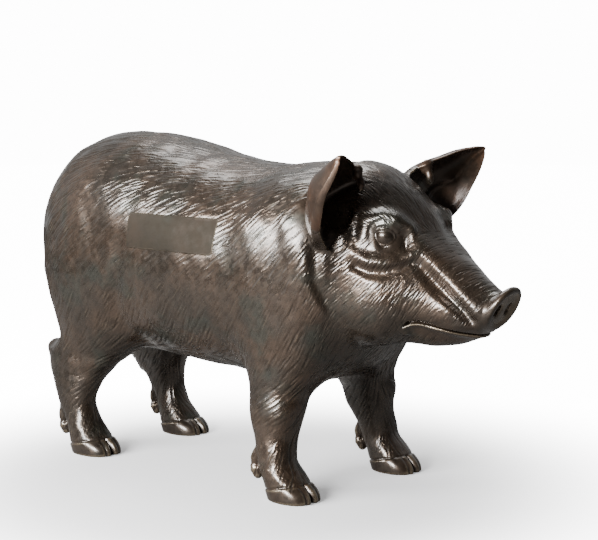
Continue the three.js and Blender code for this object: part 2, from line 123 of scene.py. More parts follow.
def rod(p, points, radii):
    """A tube along a bent line, its radius changing along it."""
    pts = np.array(points, float)
    lengths = np.linalg.norm(np.diff(pts, axis=0), axis=1)
    start = np.concatenate([[0], np.cumsum(lengths)])
    best = np.full(len(p), 1e9)
    along = np.zeros(len(p))
    for i, length in enumerate(lengths):
        d = pts[i + 1] - pts[i]
        t = np.clip(((p - pts[i]) @ d) / (d @ d), 0, 1)
        r = np.linalg.norm(p - pts[i] - t[:, None] * d, axis=1)
        near = r < best
        best[near] = r[near]
        along[near] = (start[i] + t[near] * length) / start[-1]
    return best - np.interp(along, np.linspace(0, 1, len(radii)), radii)


def local(f, p, low, high, change):
    """Changes a form only inside a box, where the change can reach."""
    inside = np.all((p > low) & (p < high), axis=1)
    if inside.any():
        f = f.copy()
        f[inside] = change(f[inside], p[inside])
    return f


def with_rod(f, p, points, radii, fillet, how=join):
    """A form with a rod joined to it or carved out of it."""
    pts = np.array(points, float)
    reach = max(radii) + fillet
    return local(f, p, pts.min(0) - reach, pts.max(0) + reach,
                 lambda g, q: how(g, rod(q, points, radii), fillet))


def with_egg(f, p, centre, radii, fillet, tilt=0.0, yaw=0.0, how=join):
    """A form with an ellipsoid joined to it or carved out of it."""
    middle = np.array(centre, float)
    reach = max(radii) * (1 + fillet / min(radii))
    return local(f, p, middle - reach, middle + reach,
                 lambda g, q: how(g, egg(q, centre, radii, tilt, yaw), fillet))


# ---------------------------------------------------------------- trunk and legs

RUMP_START, RUMP_END = -325.0, -452.0
THROAT_START, THROAT_END = 300.0, 415.0
TRUNK_SQUARENESS = 2.2
LEG_SQUARENESS = 2.3
HEAD_SQUARENESS = 2.35
BACK = smooth_line([(-455, 430), (-420, 500), (-380, 543), (-340, 566), (-290, 583), (-230, 589),
                    (-170, 586), (-92, 573), (-30, 558), (50, 546), (110, 542), (180, 548),
                    (240, 552), (300, 549), (360, 535), (420, 508)])
BELLY = smooth_line([(-455, 320), (-400, 262), (-340, 224), (-230, 198), (-100, 187), (0, 182),
                     (120, 178), (210, 178), (260, 188), (310, 216), (360, 252), (420, 288)])
FLANK = smooth_line([(-455, 118), (-400, 129), (-325, 144), (-230, 161), (-100, 170), (0, 174),
                     (100, 171), (200, 158), (260, 146), (310, 131), (360, 117), (420, 90)])

# Height, then how far the section's centre lies ahead of the hoof's and out from the
# middle, and its half sizes fore and aft and across.
FORELEG = np.array([
    (-5, -2, 138, 41, 36), (4, -2, 138, 43, 37), (18, -8, 138, 43, 37), (29, -16, 138, 39, 36),
    (41, -25, 138, 35.5, 35), (59, -37, 137, 31, 33), (79, -42, 134, 31.5, 34),
    (100, -47, 129, 35, 35.5), (119, -50, 125, 41.5, 38), (146, -51, 121, 47.5, 43),
    (170, -54, 113, 50, 48), (200, -51, 105, 60, 52), (250, -49, 100, 75, 52),
    (310, -54, 95, 80, 48)], float)
HINDLEG = np.array([
    (-5, 4, 117, 44, 36), (4, 4, 117, 46, 37), (18, -2, 117, 46, 37), (32, -12, 117, 39, 35),
    (46, -21, 117, 35, 33), (60, -30, 117, 32, 31), (74, -37, 117, 32, 30), (88, -44, 117, 34, 30),
    (103, -48, 116, 38.5, 31), (117, -51, 113, 45.5, 33), (131, -53, 109, 54, 35),
    (147, -53, 102, 66, 38), (165, -47, 98, 78, 41), (181, -41, 94, 89, 43), (205, -18, 92, 86, 48),
    (245, -8, 90, 92, 53), (310, -1, 88, 98, 55)], float)
FORELEG[:, 1] += FRONT_X
HINDLEG[:, 1] += REAR_X


def leg_lines(rows):
    return [smooth_line(rows[:, [0, k]]) for k in range(1, 5)]


FORELEG_LINES = leg_lines(FORELEG)
HINDLEG_LINES = leg_lines(HINDLEG)
HOOF_TOP = 48.0
LEG_FORM_TOP = 320.0


def rounded(across, half, up, height, squareness):
    """A section between an ellipse and a rectangle, with its two half sizes."""
    r = (np.abs(across / half)**squareness + np.abs(up / height)**squareness)**(1 / squareness)
    return (r - 1) * np.minimum(half, height)


def trunk(p):
    x, y, z = p.T
    top, low, half = BACK(x), BELLY(x), FLANK(x)
    rump = np.clip((RUMP_START - x) / (RUMP_START - RUMP_END), 0, 1)
    throat = np.clip((x - THROAT_START) / (THROAT_END - THROAT_START), 0, 1)
    scale = np.sqrt(np.clip(1 - rump**2.2, 2e-4, 1)) * np.sqrt(np.clip(1 - throat**2, 2e-4, 1))
    mid = (top + low) / 2 - 5
    mid = mid + (402 - mid) * 0.5 * rump
    height = np.maximum(np.where(z > mid, top - mid, mid - low), 1) * scale
    half = half * scale
    f = rounded(y, half, z - mid, height, TRUNK_SQUARENESS)
    return np.maximum(f, np.maximum(RUMP_END - x, x - THROAT_END))


def hoof_detail(f, p, lines):
    """Coronet, cleft and toe grooves."""
    x, y, z = p.T
    cx, cy, a, b = (line(np.full_like(z, 10.0)) for line in lines)
    u, v = x - cx, y - cy
    coronet = z - (24 + 0.20 * u)
    f = f - 1.6 * fade(coronet, 1.2, -1.2)
    f = f + 1.6 * np.exp(-((coronet - 1.2) / 1.6)**2)
    wall = fade(coronet, 3, -3) * fade(u, -6, 14)
    cleft = 2.2 + 0.05 * np.clip(u, 0, 50)
    f = f + wall * 9.0 * np.exp(-(v / cleft)**2)
    for groove in (-15, 15):
        f = f + wall * 2.0 * np.exp(-((v - groove) / 2.2)**2)
    return f


def leg(p, lines):
    x, y, z = p.T
    cx, cy, a, b = (line(z) for line in lines)
    f = rounded(x - cx, a, y - cy, b, LEG_SQUARENESS)
    low = z < HOOF_TOP
    if low.any():
        f[low] = hoof_detail(f[low], p[low], lines)
    for out in (-15, 16):
        f = dewclaw(f, p, lines, out)
    return common(common(f, z - LEG_FORM_TOP, 8), 0.4 - z, 2)


def dewclaw(f, p, lines, out):
    """One small claw that hangs behind the pastern."""
    def spot(height, behind):
        cx, cy, a, b = (float(line(height)) for line in lines)
        return (cx - a + behind, cy + out, height)
    line = [spot(80, 6), spot(64, -3), spot(50, -8), spot(37, -8)]
    return with_rod(f, p, line, [6, 8.5, 9, 7.5, 10.5, 8], 5)


def foreleg(p):
    return leg(p, FORELEG_LINES)


def hindleg(p):
    hock = [(REAR_X - 126, 97, 184), (REAR_X - 98, 106, 122)]
    return with_rod(leg(p, HINDLEG_LINES), p, hock, [12, 10], 16)


def body(p):
    f = trunk(p)
    # ham, shoulder and the roll behind the neck
    f = with_egg(f, p, (REAR_X - 2, 88, 335), (121, 70, 136), 34)
    f = with_egg(f, p, (FRONT_X - 50, 96, 350), (100, 70, 160), 44)
    f = with_egg(f, p, (FRONT_X + 11, 92, 403), (51, 68, 114), 24, -8)
    for limb, back, front in ((foreleg, FRONT_X - 190, FRONT_X + 120),
                              (hindleg, REAR_X - 200, REAR_X + 160)):
        f = local(f, p, (back, -300, -20), (front, 300, LEG_FORM_TOP + 36),
                  lambda g, q, limb=limb: join(g, limb(q), 34))
    # crease between the ham and the flank, and the fold in front of the shoulder
    f = with_rod(f, p, [(-128, 176, 400), (-148, 170, 330), (-160, 158, 268), (-150, 140, 222)],
                 [2, 5, 6, 3], 26, how=carve)
    return with_rod(f, p, [(308, 128, 470), (304, 146, 420), (306, 150, 370), (326, 128, 316),
                           (346, 96, 286)], [2, 5, 6, 5, 2], 14, how=carve)


# ---------------------------------------------------------------- head

CROWN = smooth_line([(200, 545), (240, 549), (300, 545), (340, 537), (370, 521), (395, 502),
                     (415, 479), (440, 446), (470, 419), (500, 398), (530, 377), (556, 364),
                     (620, 362)])
JAW = smooth_line([(200, 350), (240, 315), (300, 281), (350, 267), (400, 262), (450, 262),
                   (500, 272), (535, 286), (620, 300)])
CHEEK = smooth_line([(200, 96), (300, 110), (350, 112), (390, 100), (420, 82), (450, 65),
                     (480, 52), (510, 43), (535, 36), (560, 33), (620, 33)])
SNOUT = np.array([570.0, 0.0, 332.0])
DISC_ACROSS = 36.0
DISC_UP = 41.0
SNOUT_TILT = np.radians(31.0)
SNOUT_OUT = np.array([np.cos(SNOUT_TILT), 0, -np.sin(SNOUT_TILT)])
SNOUT_UP = np.array([np.sin(SNOUT_TILT), 0, np.cos(SNOUT_TILT)])
EYE = np.array([388.0, 70.5, 441.0])
EYE_OUT = np.array([0.42, 0.90, 0.08])
EYE_OUT /= np.linalg.norm(EYE_OUT)
EYE_AHEAD = np.cross(EYE_OUT, (0, 0, 1))
EYE_AHEAD /= np.linalg.norm(EYE_AHEAD)
EYE_UP = np.cross(EYE_AHEAD, EYE_OUT)
EYEBALL = 18.5


def lid_line(radius, opening, bulge, start, end, count=9):
    """Points along a lid: round the eyeball from one corner to the other."""
    points = []
    for t in np.linspace(start, end, count):
        off = np.radians(opening - bulge * np.abs(np.sin(t)))
        around = np.cos(t) * EYE_AHEAD + np.sin(t) * EYE_UP
        points.append(EYE + radius * (np.cos(off) * EYE_OUT + np.sin(off) * around))
    return points


UPPER_LID = lid_line(EYEBALL + 1.2, 66, 28, -0.1, np.pi + 0.1)
LOWER_LID = lid_line(EYEBALL + 0.4, 66, 17, -np.pi - 0.1, 0.1)
UNDER_LID = lid_line(EYEBALL + 3.0, 82, 16, -np.pi + 0.3, -0.3)
LID_FOLD = lid_line(EYEBALL + 4.0, 76, 22, 0.4, np.pi - 0.4)


def eye(f, p):
    f = with_egg(f, p, EYE + 19 * EYE_OUT, (25, 8, 17), 10, 0, 62, how=carve)
    f = with_rod(f, p, LID_FOLD, [1.5, 3.0, 3.6, 3.0, 1.5], 7)
    f = with_egg(f, p, EYE, (EYEBALL, EYEBALL, EYEBALL), 1.5)
    f = with_rod(f, p, UPPER_LID, [1.0, 2.2, 2.6, 2.2, 1.0], 1.5)
    f = with_rod(f, p, LOWER_LID, [1.0, 1.7, 1.9, 1.7, 1.0], 1.5)
    return with_rod(f, p, UNDER_LID, [0.6, 1.6, 2.0, 1.6, 0.6], 4)


MOUTH = smooth_line([(424, 298), (430, 303), (438, 307), (449, 308), (466, 304.5), (492, 298),
                     (515, 293.5), (536, 290), (560, 288)])


def mouth(f, p):
    x, y, z = p.T
    off = z - MOUTH(x)
    reach = fade(x, 423, 434) * fade(x, 545, 536)
    f = f + reach * 5.5 * np.exp(-(off / (1.1 + 1.2 * fade(x, 500, 440)))**2)
    return f - reach * 1.8 * np.exp(-((off + 5.5) / 3.2)**2)


def face(f, p):
    # brow, and the bag and hollows round the eye
    f = with_rod(f, p, [(360, 84, 466), (384, 77, 471), (406, 66, 466), (420, 54, 454)],
                 [3, 8, 11, 7], 22)
    f = with_egg(f, p, (427, 66, 436), (11, 6, 20), 13, 12, 45, how=carve)
    f = with_egg(f, p, (352, 113, 452), (10, 5, 18), 18, 0, 70, how=carve)
    f = eye(f, p)
    f = with_rod(f, p, [(352, 107, 412), (376, 101, 403), (398, 89, 400), (417, 75, 403),
                        (431, 62, 411)], [2, 6, 7.5, 6, 2], 15)
    f = with_rod(f, p, [(358, 112, 393), (383, 107, 385), (405, 96, 385), (425, 80, 390),
                        (436, 67, 399)], [1, 3, 4, 3, 1], 14, how=carve)
    # ridge along each side of the snout, the hollow below it, and the lip under that
    f = with_rod(f, p, [(436, 45, 424), (455, 40, 406), (480, 36, 380), (510, 33, 356),
                        (537, 31, 332)], [3, 6, 8, 7, 4], 34)
    f = with_egg(f, p, (494, 39, 321), (40, 15, 19), 14, 18, -12)
    f = with_egg(f, p, (470, 42, 333), (50, 19, 26), 20, 24, -20)
    f = with_egg(f, p, (432, 58, 350), (40, 18, 36), 18, 20, -30)
    f = with_rod(f, p, [(446, 64, 402), (470, 55, 374), (496, 48, 350), (520, 43, 330),
                        (534, 41, 316)], [2, 4.5, 5, 4.5, 2], 16, how=carve)
    f = with_rod(f, p, [(423, 67, 306), (420, 69, 298), (426, 65, 290)], [3, 4, 3], 9)
    return mouth(f, p)


def snout_disc(f, p):
    q = p - SNOUT
    out, across, up = q @ SNOUT_OUT, q[:, 1], q @ SNOUT_UP
    rim = (np.sqrt((across / DISC_ACROSS)**2 + (up / DISC_UP)**2) - 1) * DISC_ACROSS
    thick = np.abs(out + 5) - 6
    disc = common(rim + 0.05 * (out + 2)**2, thick, 5)
    f = join(f, disc, 10)
    f = f + 3.2 * fade(rim, -5, -14) * fade(out, -6, 0)
    hole = egg(np.stack([out, across, up], 1), (2, 15, -2), (17, 7, 12), 0, 8)
    f = carve(f, hole, 6)
    wrinkles = np.zeros(len(p))
    for behind, deep in ((16, 1.5), (25, 1.3), (35, 1.1), (47, 0.9), (60, 0.6)):
        line = out + behind + 0.004 * across**2 + 2 * np.sin(across * 0.13 + behind)
        wrinkles += deep * np.exp(-(line / 2.2)**2)
    return f + wrinkles * fade(up, 8, 26)


def head(p):
    x, y, z = p.T
    top, low, half = CROWN(x), JAW(x), CHEEK(x)
    mid = low + (top - low) * 0.46
    back = np.sqrt(np.clip(1 - (np.clip(290 - x, 0, 90) / 90)**2, 2e-4, 1))
    height = np.where(z > mid, top - mid, mid - low) * back
    half = half * back * (1 - 0.14 * np.clip((z - mid) / (top - mid), 0, 1.2))
    f = rounded(y, half, z - mid, height, HEAD_SQUARENESS)
    f = common(f, (p - SNOUT) @ SNOUT_OUT + 4, 8)
    return join(f, egg(p, (350, 62, 332), (78, 52, 70)), 30)


# ---------------------------------------------------------------- ears

EAR_TIP = np.array([396.0, 194.0, 575.0])
EAR_CREST = np.array([341.0, 94.0, 549.0])
EAR_NOTCH = np.array([330.0, 135.0, 425.0])
EAR_ROOT = (EAR_CREST + EAR_NOTCH) / 2
EAR_LENGTH = np.linalg.norm(EAR_TIP - EAR_ROOT)
EAR_ALONG = (EAR_TIP - EAR_ROOT) / EAR_LENGTH
EAR_ACROSS = EAR_CREST - EAR_NOTCH
EAR_ACROSS = EAR_ACROSS - (EAR_ACROSS @ EAR_ALONG) * EAR_ALONG
EAR_ACROSS /= np.linalg.norm(EAR_ACROSS)
EAR_FACING = -np.cross(EAR_ACROSS, EAR_ALONG)
EAR_UPPER = smooth_line([(-80, 44), (-30, 60), (0, 65), (35, 56), (60, 45), (89, 31), (110, 18),
                         (124, 8), (134, -4), (170, -40)])
EAR_LOWER = smooth_line([(-80, 44), (-30, 63), (0, 68), (35, 66), (60, 57), (89, 41), (110, 24),
                         (124, 10), (134, -4), (170, -40)])
EAR_CUP = smooth_line([(-80, 26), (-30, 40), (30, 42), (70, 32), (100, 17), (126, 3), (170, 2)])
EAR_CUT = 17.0
HEAD_FROM, FACE_FROM = 180.0, 262.0


def ear_parts(p):
    """Places along, across and above the ear's sheet, with its half width and slope."""
    q = p - EAR_ROOT
    a, s, n = q @ EAR_ALONG, q @ EAR_ACROSS, q @ EAR_FACING
    half = np.where(s > 0, EAR_UPPER(a), EAR_LOWER(a))
    width = np.maximum(half, 8)
    t = s / width
    cup = EAR_CUP(a)
    lean = 9 * np.clip(cup / 40, 0, 1)
    sheet = -cup * (1 - t**2) - lean * (1 - t) + 1.2 * np.sin(a * 0.09 + 2.5 * t)
    slope = (2 * cup * t + lean) / width
    return a, s, n - sheet, n, half, t, slope


def ear(p):
    a, s, above, _, half, t, slope = ear_parts(p)
    thick = 2.9 + 4.5 * np.exp(-np.maximum(a + 30, 0) / 32)
    thick = thick + 1.1 * np.exp(-((np.abs(t) - 0.95) / 0.07)**2)
    f = np.abs(above) / np.sqrt(1 + slope**2) - thick
    f = common(f, (np.abs(s) - half) / np.sqrt(1 + 0.15 * slope**2), 4)
    f = common(f, -a - 62, 6)
    # a curled fold low inside the cup
    fold = (t + 0.40 - 0.12 * np.sin(a * 0.07)) * np.maximum(half, 8)
    ridge = np.sqrt(fold**2 + (above - thick)**2) - 3.2 * fade(a, 46, 5)
    return join(f, ridge, 6)


def ear_hollow(f, p):
    """Opens the cup of the ear down into the head, in front of its sheet."""
    a, s, above, n, *_ = ear_parts(p)
    outline = (np.hypot((a - 6) / 34, (s + 18) / 42) - 1) * 34
    room = common(common(-above, n - 13, 8), outline, 8)
    return carve(f, room, 6)


def ear_lump(p):
    """The folded knob where the ear's crest meets the head."""
    f = egg(p, (347, 92, 542), (10, 8, 13), 20, 30)
    return join(f, egg(p, (354, 92, 524), (7, 6, 12), 0, 30), 6)


def whole(p):
    f = body(p)
    ahead = p[:, 0] > HEAD_FROM
    if not ahead.any():
        return f
    q = p[ahead]
    g = join(f[ahead], head(q), 18)
    front = q[:, 0] > FACE_FROM
    if front.any():
        k = q[front]
        h = face(g[front], k)
        h = snout_disc(h, k)
        h = ear_hollow(h, k)
        h = join(h, ear_lump(k), 8)
        g[front] = join(h, ear(k), 8)
    f[ahead] = g
    return f


# ---------------------------------------------------------------- from form to surface

def skin(form, low, high, step, mirrored=True):
    """Closed surface of a form inside a box, as points and quads."""
    block, at_once, band = 8, 600, 3.0
    low, high = np.array(low, float), np.array(high, float)
    if mirrored:
        low[1] = 0
    blocks = np.ceil((high - low) / (step * block)).astype(int)
    corners = [low[k] + step * block * np.arange(blocks[k] + 1) for k in range(3)]
    grid = np.stack(np.meshgrid(*corners, indexing="ij"), -1).reshape(-1, 3)
    coarse = form(grid).reshape(blocks + 1)
    reach = step * block
    around = np.stack([coarse[i:i + blocks[0], j:j + blocks[1], k:k + blocks[2]]
                       for i in (0, 1) for j in (0, 1) for k in (0, 1)])
    busy = (around.min(0) < reach) & (around.max(0) > -reach)
    field = np.repeat(np.repeat(np.repeat(np.where(around[0] > 0, band, -band), block, 0),
                                block, 1), block, 2).astype(np.float32)
    ticks = np.stack(np.meshgrid(*[np.arange(block)] * 3, indexing="ij"), -1).reshape(-1, 3)
    spots = np.argwhere(busy) * block
    for start in range(0, len(spots), at_once):
        cells = (spots[start:start + at_once, None] + ticks).reshape(-1, 3)
        value = form(low + cells * step)
        field[cells[:, 0], cells[:, 1], cells[:, 2]] = np.clip(value / step, -band, band)
    if mirrored:
        field = np.concatenate([field[:, :0:-1], field], 1)
        low = low.copy()
        low[1] = -step * (blocks[1] * block - 1)
    volume = openvdb.FloatGrid(band)
    volume.copyFromArray(np.ascontiguousarray(field))
    points, quads = volume.convertToQuads(0.0)
    points = np.asarray(points, float) * step + low
    return settle(form, points, mirrored), np.asarray(quads)


def folded(points, mirrored=True):
    out = points.copy()
    if mirrored:
        out[:, 1] = np.abs(out[:, 1])
    return out


def settle(form, points, mirrored=True, turns=2, nudge=0.4, most=3.0):
    """Moves points onto the form's surface."""
    for _ in range(turns):
        q = folded(points, mirrored)
        f = form(q)
        grad = np.stack([form(q + nudge * np.eye(3)[k]) - f for k in range(3)], 1) / nudge
        shift = np.clip(f / (np.sum(grad**2, 1) + 1e-6), -most, most)[:, None] * grad
        if mirrored:
            shift[:, 1] *= np.where(points[:, 1] < 0, -1, 1)
        points = points - np.clip(shift, -most, most)
    return points


def vertex_normals(points, quads):
    a, b, c, d = (points[quads[:, k]] for k in range(4))
    flat = np.cross(c - a, d - b)
    total = np.zeros_like(points)
    for k in range(4):
        for axis in range(3):
            total[:, axis] += np.bincount(quads[:, k], flat[:, axis], len(points))
    return total / (np.linalg.norm(total, axis=1, keepdims=True) + 1e-12)


def neighbour_mean(values, quads):
    total = np.zeros_like(values)
    count = np.zeros(len(values))
    for k in range(4):
        a, b = quads[:, k], quads[:, (k + 1) % 4]
        for i, j in ((a, b), (b, a)):
            count += np.bincount(i, minlength=len(values))
            for axis in range(values.shape[1]):
                total[:, axis] += np.bincount(i, values[j, axis], len(values))
    return total / np.maximum(count, 1)[:, None]


def hollowness(points, quads, normals, turns):
    """How far each point stands out from (positive) or lies in from its surroundings."""
    soft = points
    for _ in range(turns):
        soft = neighbour_mean(soft, quads)
    return np.sum((points - soft) * normals, 1)


# ---------------------------------------------------------------- chiselled hair

def lie_of_hair(p):
    """Direction in which the hair lies at each point."""
    x, y, z = p.T
    side = np.where(y < 0, -1.0, 1.0)
    slope = 0.18 + 0.55 * fade(z, 560, 440) + 0.75 * fade(z, 400, 250)
    slope = slope + 0.45 * fade(x, 120, 220) * fade(x, 330, 270)
    d = np.stack([-np.ones(len(p)), 0.1 * side, -slope], 1)
    d += fade(x, -290, -430)[:, None] * np.array([0.35, 0, -1.3])
    bridge = fade(x, 430, 460) * fade(np.abs(y), 46, 32) * fade(z, 330, 350)
    # legs, fetlocks, cheeks, crown and the bridge of the snout each turn it their own way
    for share, ahead, out, up in (
            (fade(z, 270, 170), -0.75, 0.55, -0.65),
            (fade(z, 110, 70), -0.25, 0.2, -1.0),
            (fade(x, 320, 380) * fade(z, 470, 430), -0.62, 0.0, -0.7),
            (fade(x, 320, 360) * fade(z, 440, 475), -0.8, 0.1, 0.6),
            (bridge, -0.35, 0.8, -0.5)):
        way = np.stack([np.full(len(p), ahead), out * side, np.full(len(p), up)], 1)
        d = d * (1 - share[:, None]) + share[:, None] * way
    return d


def along_surface(way, normals):
    """Directions laid flat on the surface, at unit length."""
    way = way - np.sum(way * normals, 1)[:, None] * normals
    return way / (np.linalg.norm(way, axis=1, keepdims=True) + 1e-9)


def bare_skin(p):
    """1 where the surface was left smooth, 0 where hair was cut."""
    x, y, z = p.T
    q = folded(p)
    beside = np.abs(x + CENTRE_X - (WINDOW_LOW.x + WINDOW_HIGH.x) / 2)
    above = np.abs(z - (WINDOW_LOW.z + WINDOW_HIGH.z) / 2)
    half = (WINDOW_HIGH - WINDOW_LOW) / 2
    patch = (fade(beside, half.x + 6, half.x - 8) * fade(above, half.z + 5, half.z - 6)
             * (y < 0))
    eyes = fade(np.linalg.norm(q - EYE - 6 * EYE_OUT, axis=1), 32, 24)
    place = q - EAR_ROOT
    along = place @ EAR_ALONG
    ears = fade(along, 8, 18) * (x > FACE_FROM)
    cup = (x > FACE_FROM) * fade(np.hypot(along / 52, (place @ EAR_ACROSS + 6) / 70),
                                 1.0, 0.85) * fade(place @ EAR_FACING, 12, 4)
    disc = fade((p - SNOUT) @ SNOUT_OUT, -22, -14)
    hooves = fade(z, 36, 28)
    claws = fade(z, 90, 70) * np.maximum(fade(x, FRONT_X - 66, FRONT_X - 76) * (x > 0),
                                         fade(x, REAR_X - 58, REAR_X - 68))
    lips = (x > 420) * fade(np.abs(z - 296), 16, 9)
    return np.max([patch, eyes, ears, cup, disc, hooves, claws, lips], 0)


# Slopes of the fine hair lines, in degrees below level towards the tail.
LINE_SLOPES = {"line_level": 10, "line_slant": 36, "line_steep": 64, "line_crown": -37}


def line_shares(points, normals):
    """How much each slope of fine line has at each point."""
    way = along_surface(lie_of_hair(points), normals)
    near = {}
    for name, slope in LINE_SLOPES.items():
        angle = np.radians(slope)
        near[name] = np.abs(way @ np.array([-np.cos(angle), 0, -np.sin(angle)]))**14
    total = sum(near.values()) + 1e-6
    return {name: share / total for name, share in near.items()}


class Buckets:
    """Points sorted into cubes, so that those near a place are found quickly."""

    def __init__(self, points, size):
        self.size, self.low = size, points.min(0)
        cell = ((points - self.low) / size).astype(int)
        self.shape = cell.max(0) + 3
        key = self.key(cell)
        self.order = np.argsort(key, kind="stable")
        self.sorted = key[self.order]

    def key(self, cell):
        return (cell[..., 0] * self.shape[1] + cell[..., 1]) * self.shape[2] + cell[..., 2]

    def near(self, place):
        cell = ((place - self.low) / self.size).astype(int)
        found = []
        for i in (-1, 0, 1):
            for j in (-1, 0, 1):
                first = self.key(cell + np.array([i, j, -1]))
                last = self.key(cell + np.array([i, j, 1]))
                a, b = np.searchsorted(self.sorted, [first, last + 1])
                found.append(self.order[a:b])
        return np.concatenate(found)


def stroke_plan(points, normals, quads, spacing, length, seed):
    """Strokes as centre, direction, half length and depth, spread evenly over the surface."""
    draw = np.random.default_rng(seed)
    a, b, c, d = (points[quads[:, k]] for k in range(4))
    area = np.linalg.norm(np.cross(c - a, d - b), axis=1) / 2
    total = area.sum()
    count = int(total / (spacing * length) * 1.25)
    chosen = draw.choice(len(quads), count, p=area / total)
    centre = (a[chosen] + c[chosen]) / 2 + draw.normal(0, 0.8, (count, 3))
    normal = normals[quads[chosen, 0]]
    keep = bare_skin(centre) < draw.uniform(0.2, 0.8, count)
    centre, normal = centre[keep], normal[keep]
    way = along_surface(lie_of_hair(centre), normal)
    way = way + np.cross(normal, way) * draw.normal(0, 0.06, (len(way), 1))
    way = way / np.linalg.norm(way, axis=1, keepdims=True)
    half = length / 2 * draw.uniform(0.55, 1.35, len(way))
    deep = draw.uniform(0.45, 1.0, len(way))
    return centre, normal, way, half, deep


def cut_strokes(points, normals, plan, width, depth):
    """Depth of the cuts at each point, with a slight burr along each side."""
    relief = np.zeros(len(points))
    centre, normal, way, half, deep = plan
    buckets = Buckets(points, 24.0)
    for k in range(len(centre)):
        near = buckets.near(centre[k])
        q = points[near] - centre[k]
        u = q @ way[k]
        side = np.cross(normal[k], way[k])
        v = q @ side + 0.004 * u * u * (0.7 - deep[k])
        facing = normals[near] @ normal[k]
        ends = np.clip(1 - (u / half[k])**2, 0, 1)
        close = (ends > 0) & (np.abs(v) < width * 4) & (facing > 0.3)
        if not close.any():
            continue
        e, w = ends[close], v[close] / (width * (0.6 + 0.4 * ends[close]))
        cut = -np.exp(-w * w) + 0.35 * np.exp(-(np.abs(w) - 1.9)**2 / 0.5)
        into = near[close]
        value = depth * deep[k] * np.sqrt(e) * cut
        relief[into] = np.where(value < 0, np.minimum(relief[into], value) * 0.85
                                + (relief[into] + value) * 0.15,
                                relief[into] + value * 0.6)
    return relief


HAND_UNEVENNESS = 0.17


def hand_finish(points):
    """The slow unevenness of a hand-modelled surface."""
    draw = np.random.default_rng(7)
    total = np.zeros(len(points))
    for _ in range(22):
        wave = draw.normal(0, 1, 3)
        wave *= 2 * np.pi / draw.uniform(34, 110) / np.linalg.norm(wave)
        total += np.sin(points @ wave + draw.uniform(0, 6.28))
    return total * HAND_UNEVENNESS


def painted_disc_shade_mark(p):
    """Painted shade mark on the snout disc's face; being positive, it gets the lighter rubbed
    colour.
    """
    q = p - SNOUT
    inside = np.hypot(q[:, 1] / (DISC_ACROSS - 4), (q @ SNOUT_UP) / (DISC_UP - 4))
    return 0.75 * fade(q @ SNOUT_OUT, -14, -8) * fade(inside, 1.0, 0.88)


def dress(points, quads, spacing, length, width, depth, seed):
    """Cuts the hair into a surface. Gives points, normals and what the finish needs."""
    normals = vertex_normals(points, quads)
    smooth = bare_skin(points)
    points = points + normals * (hand_finish(points) * (1 - 0.8 * smooth))[:, None]
    plan = stroke_plan(points, normals, quads, spacing, length, seed)
    relief = cut_strokes(points, normals, plan, width, depth)
    points = points + normals * relief[:, None]
    normals = vertex_normals(points, quads)
    points[:, 2] = np.maximum(points[:, 2], 0.3)
    return {
        "points": points,
        "quads": quads,
        "normals": normals,
        "cut": relief / depth,
        # the crease value also carries the painted shade mark on the snout disc's face
        "crease_and_disc_shade": np.maximum(hollowness(points, quads, normals, 9), painted_disc_shade_mark(points)),
        "smooth": smooth,
        **line_shares(points, normals),
    }


# ---------------------------------------------------------------- pieces

def to_mesh(name, surface, chosen=None):
    """A Blender mesh in the row frame from all or some of a surface's quads."""
    quads = surface["quads"] if chosen is None else surface["quads"][chosen]
    used, index = np.unique(quads, return_inverse=True)
    index = index.reshape(-1, 4)
    mesh = bpy.data.meshes.new(name)
    mesh.vertices.add(len(used))
    mesh.loops.add(index.size)
    mesh.polygons.add(len(index))
    place = (surface["points"][used] + np.array([CENTRE_X, 0, 0])) * MM
    mesh.vertices.foreach_set("co", place.ravel())
    mesh.loops.foreach_set("vertex_index", index.ravel().astype(np.int32))
    mesh.polygons.foreach_set("loop_start", np.arange(0, index.size, 4, dtype=np.int32))
    mesh.update(calc_edges=True)
    for key in ("cut", "crease_and_disc_shade", "smooth", *LINE_SLOPES):
        layer = mesh.attributes.new(key, "FLOAT", "POINT")
        layer.data.foreach_set("value", surface[key][used].astype(np.float32))
    layer = mesh.attributes.new("lay", "FLOAT_VECTOR", "POINT")
    layer.data.foreach_set("vector", surface["normals"][used].astype(np.float32).ravel())
    return mesh


def trimmed(mesh, planes, alone=False):
    """Cuts a mesh by planes, each a place and the direction thrown away, and closes it."""
    bm = bmesh.new()
    bm.from_mesh(mesh)
    for place, away in planes:
        geom = bm.verts[:] + bm.edges[:] + bm.faces[:]
        bmesh.ops.bisect_plane(bm, geom=geom, plane_co=place, plane_no=away, dist=1e-6,
                               clear_outer=True)
    edges = [e for e in bm.edges if e.is_boundary]
    if edges:
        bmesh.ops.holes_fill(bm, edges=edges, sides=0)
    if alone:
        keep_main(bm)
    bm.to_mesh(mesh)
    bm.free()


def keep_main(bm):
    """Leaves only the largest joined set of faces."""
    bm.verts.ensure_lookup_table()
    seen = np.zeros(len(bm.verts), bool)
    groups = []
    for vert in bm.verts:
        if seen[vert.index]:
            continue
        group, front = [vert], [vert]
        seen[vert.index] = True
        while front:
            nxt = front.pop()
            for edge in nxt.link_edges:
                other = edge.other_vert(nxt)
                if not seen[other.index]:
                    seen[other.index] = True
                    group.append(other)
                    front.append(other)
        groups.append(group)
    groups.sort(key=len)
    for group in groups[:-1]:
        bmesh.ops.delete(bm, geom=group, context="VERTS")


